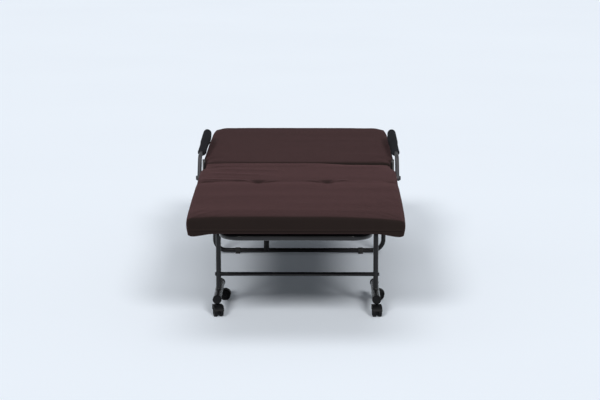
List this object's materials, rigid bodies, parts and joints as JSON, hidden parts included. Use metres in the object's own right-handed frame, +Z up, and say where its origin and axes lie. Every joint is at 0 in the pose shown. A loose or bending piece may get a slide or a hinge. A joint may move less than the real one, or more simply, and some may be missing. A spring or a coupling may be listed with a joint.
{
  "type": "folding cot",
  "caption": "Folding cot with a split padded mattress on a castered steel trestle: the near half reclines on a ratchet, the far half folds over it with its U-shaped leg, and side arms swing up.",
  "frame": {"origin": "on the floor under the centre of the cot's bounding box", "axes": "+Y runs along the bed from the near, reclining end to the far end, +X to the right of someone who looks along +Y, +Z up"},
  "size_m": [0.6988, 1.88, 0.4384],
  "materials": {
    "frame_paint": "semi-gloss charcoal powder coat",
    "slat_paint": "satin black paint",
    "plate_paint": "satin black paint",
    "fastener": "black zinc",
    "black_plastic": "moulded, fine grain",
    "wheel_plastic": "moulded, worn tread",
    "foam_grip": "matte closed-cell foam",
    "rubber": "matte",
    "cover_fabric": "dark brown fine weave",
    "webbing": "woven tape"
  },
  "bodies": {
    "main_frame": {"side_tube_left": "frame_paint", "side_tube_right": "frame_paint", "foot_tube_left": "frame_paint", "foot_tube_right": "frame_paint", "lower_crossbar_bolt_left": "fastener", "lower_crossbar_bolt_right": "fastener", "hinge_plate_left": "plate_paint", "hinge_plate_right": "plate_paint", "hinge_pin_left": "fastener", "hinge_pin_right": "fastener", "stop_pin_left": "fastener", "stop_pin_right": "fastener", "arm_bolt_left": "fastener", "arm_bolt_right": "fastener", "pawl_rivet_left": "fastener", "pawl_rivet_right": "fastener", "foot_tube_caps": "black_plastic", "lower_crossbar": "frame_paint", "rest_crossbar": "frame_paint", "rest_pads": "rubber", "hinge_crossbar": "frame_paint", "caster_sockets": "black_plastic", "storage_strap": "webbing"},
    "back_frame": {"back_frame_tube": "frame_paint", "back_hinge_bar": "frame_paint", "back_slats": "slat_paint", "mattress_back": "cover_fabric", "ratchet_plate_left": "plate_paint", "ratchet_plate_right": "plate_paint"},
    "foot_frame": {"foot_frame_tube": "frame_paint", "foot_hinge_bar": "frame_paint", "foot_slats": "slat_paint", "mattress_foot": "cover_fabric", "fold_plate_left": "plate_paint", "fold_plate_right": "plate_paint", "leg_bolt_left": "fastener", "leg_bolt_right": "fastener", "leg_washer_left": "fastener", "leg_washer_right": "fastener"},
    "foot_leg": {"leg_tube": "frame_paint", "leg_glide_left": "rubber", "leg_glide_right": "rubber"},
    "arm_left": {"arm_tube_left": "frame_paint", "arm_grip_left": "foam_grip"},
    "arm_right": {"arm_tube_right": "frame_paint", "arm_grip_right": "foam_grip"},
    "pawl_left": {"pawl_left": "plate_paint"},
    "pawl_right": {"pawl_right": "plate_paint"},
    "caster_front_left": {"caster_hood_front_left": "black_plastic"},
    "wheels_front_left": {"caster_wheels_front_left": "wheel_plastic"},
    "caster_front_right": {"caster_hood_front_right": "black_plastic"},
    "wheels_front_right": {"caster_wheels_front_right": "wheel_plastic"},
    "caster_rear_left": {"caster_hood_rear_left": "black_plastic"},
    "wheels_rear_left": {"caster_wheels_rear_left": "wheel_plastic"},
    "caster_rear_right": {"caster_hood_rear_right": "black_plastic"},
    "wheels_rear_right": {"caster_wheels_rear_right": "wheel_plastic"}
  },
  "joints": [
    {"name": "back_recline", "type": "hinge", "parent": "main_frame", "child": "back_frame", "pos_m": [0, 0.043, 0.399], "axis": [1, 0, 0], "range_deg": [-70, 0]},
    {"name": "foot_fold", "type": "hinge", "parent": "main_frame", "child": "foot_frame", "pos_m": [0, 0.043, 0.399], "axis": [1, 0, 0], "range_deg": [0, 180]},
    {"name": "leg_fold", "type": "hinge", "parent": "foot_frame", "child": "foot_leg", "pos_m": [0, 0.479, 0.316], "axis": [1, 0, 0], "range_deg": [0, 84]},
    {"name": "arm_swing_left", "type": "hinge", "parent": "main_frame", "child": "arm_left", "pos_m": [-0.335, 0.043, 0.344], "axis": [1, 0, 0], "range_deg": [0, 95]},
    {"name": "pawl_drop_left", "type": "hinge", "parent": "main_frame", "child": "pawl_left", "pos_m": [-0.3194, 0.079, 0.348], "axis": [1, 0, 0], "range_deg": [-7, 0]},
    {"name": "arm_swing_right", "type": "hinge", "parent": "main_frame", "child": "arm_right", "pos_m": [0.335, 0.043, 0.344], "axis": [1, 0, 0], "range_deg": [0, 95]},
    {"name": "pawl_drop_right", "type": "hinge", "parent": "main_frame", "child": "pawl_right", "pos_m": [0.3194, 0.079, 0.348], "axis": [1, 0, 0], "range_deg": [-7, 0]},
    {"name": "swivel_front_left", "type": "hinge", "parent": "main_frame", "child": "caster_front_left", "pos_m": [-0.249, -0.545, 0.05], "axis": [0, 0, 1], "continuous": true},
    {"name": "roll_front_left", "type": "hinge", "parent": "caster_front_left", "child": "wheels_front_left", "pos_m": [-0.24537, -0.55955, 0.017], "axis": [0.9703, 0.2419, 0], "continuous": true},
    {"name": "swivel_front_right", "type": "hinge", "parent": "main_frame", "child": "caster_front_right", "pos_m": [0.249, -0.545, 0.05], "axis": [0, 0, 1], "continuous": true},
    {"name": "roll_front_right", "type": "hinge", "parent": "caster_front_right", "child": "wheels_front_right", "pos_m": [0.25031, -0.55994, 0.017], "axis": [0.9962, 0.0872, 0], "continuous": true},
    {"name": "swivel_rear_left", "type": "hinge", "parent": "main_frame", "child": "caster_rear_left", "pos_m": [-0.249, -0.31, 0.05], "axis": [0, 0, 1], "continuous": true},
    {"name": "roll_rear_left", "type": "hinge", "parent": "caster_rear_left", "child": "wheels_rear_left", "pos_m": [-0.234, -0.31, 0.017], "axis": [0, 1, 0], "continuous": true},
    {"name": "swivel_rear_right", "type": "hinge", "parent": "main_frame", "child": "caster_rear_right", "pos_m": [0.249, -0.31, 0.05], "axis": [0, 0, 1], "continuous": true},
    {"name": "roll_rear_right", "type": "hinge", "parent": "caster_rear_right", "child": "wheels_rear_right", "pos_m": [0.264, -0.31, 0.017], "axis": [0, 1, 0], "continuous": true}
  ],
  "couplings": [
    {"joint": "leg_fold", "follows": "foot_fold", "ratio": 0.46667}
  ]
}
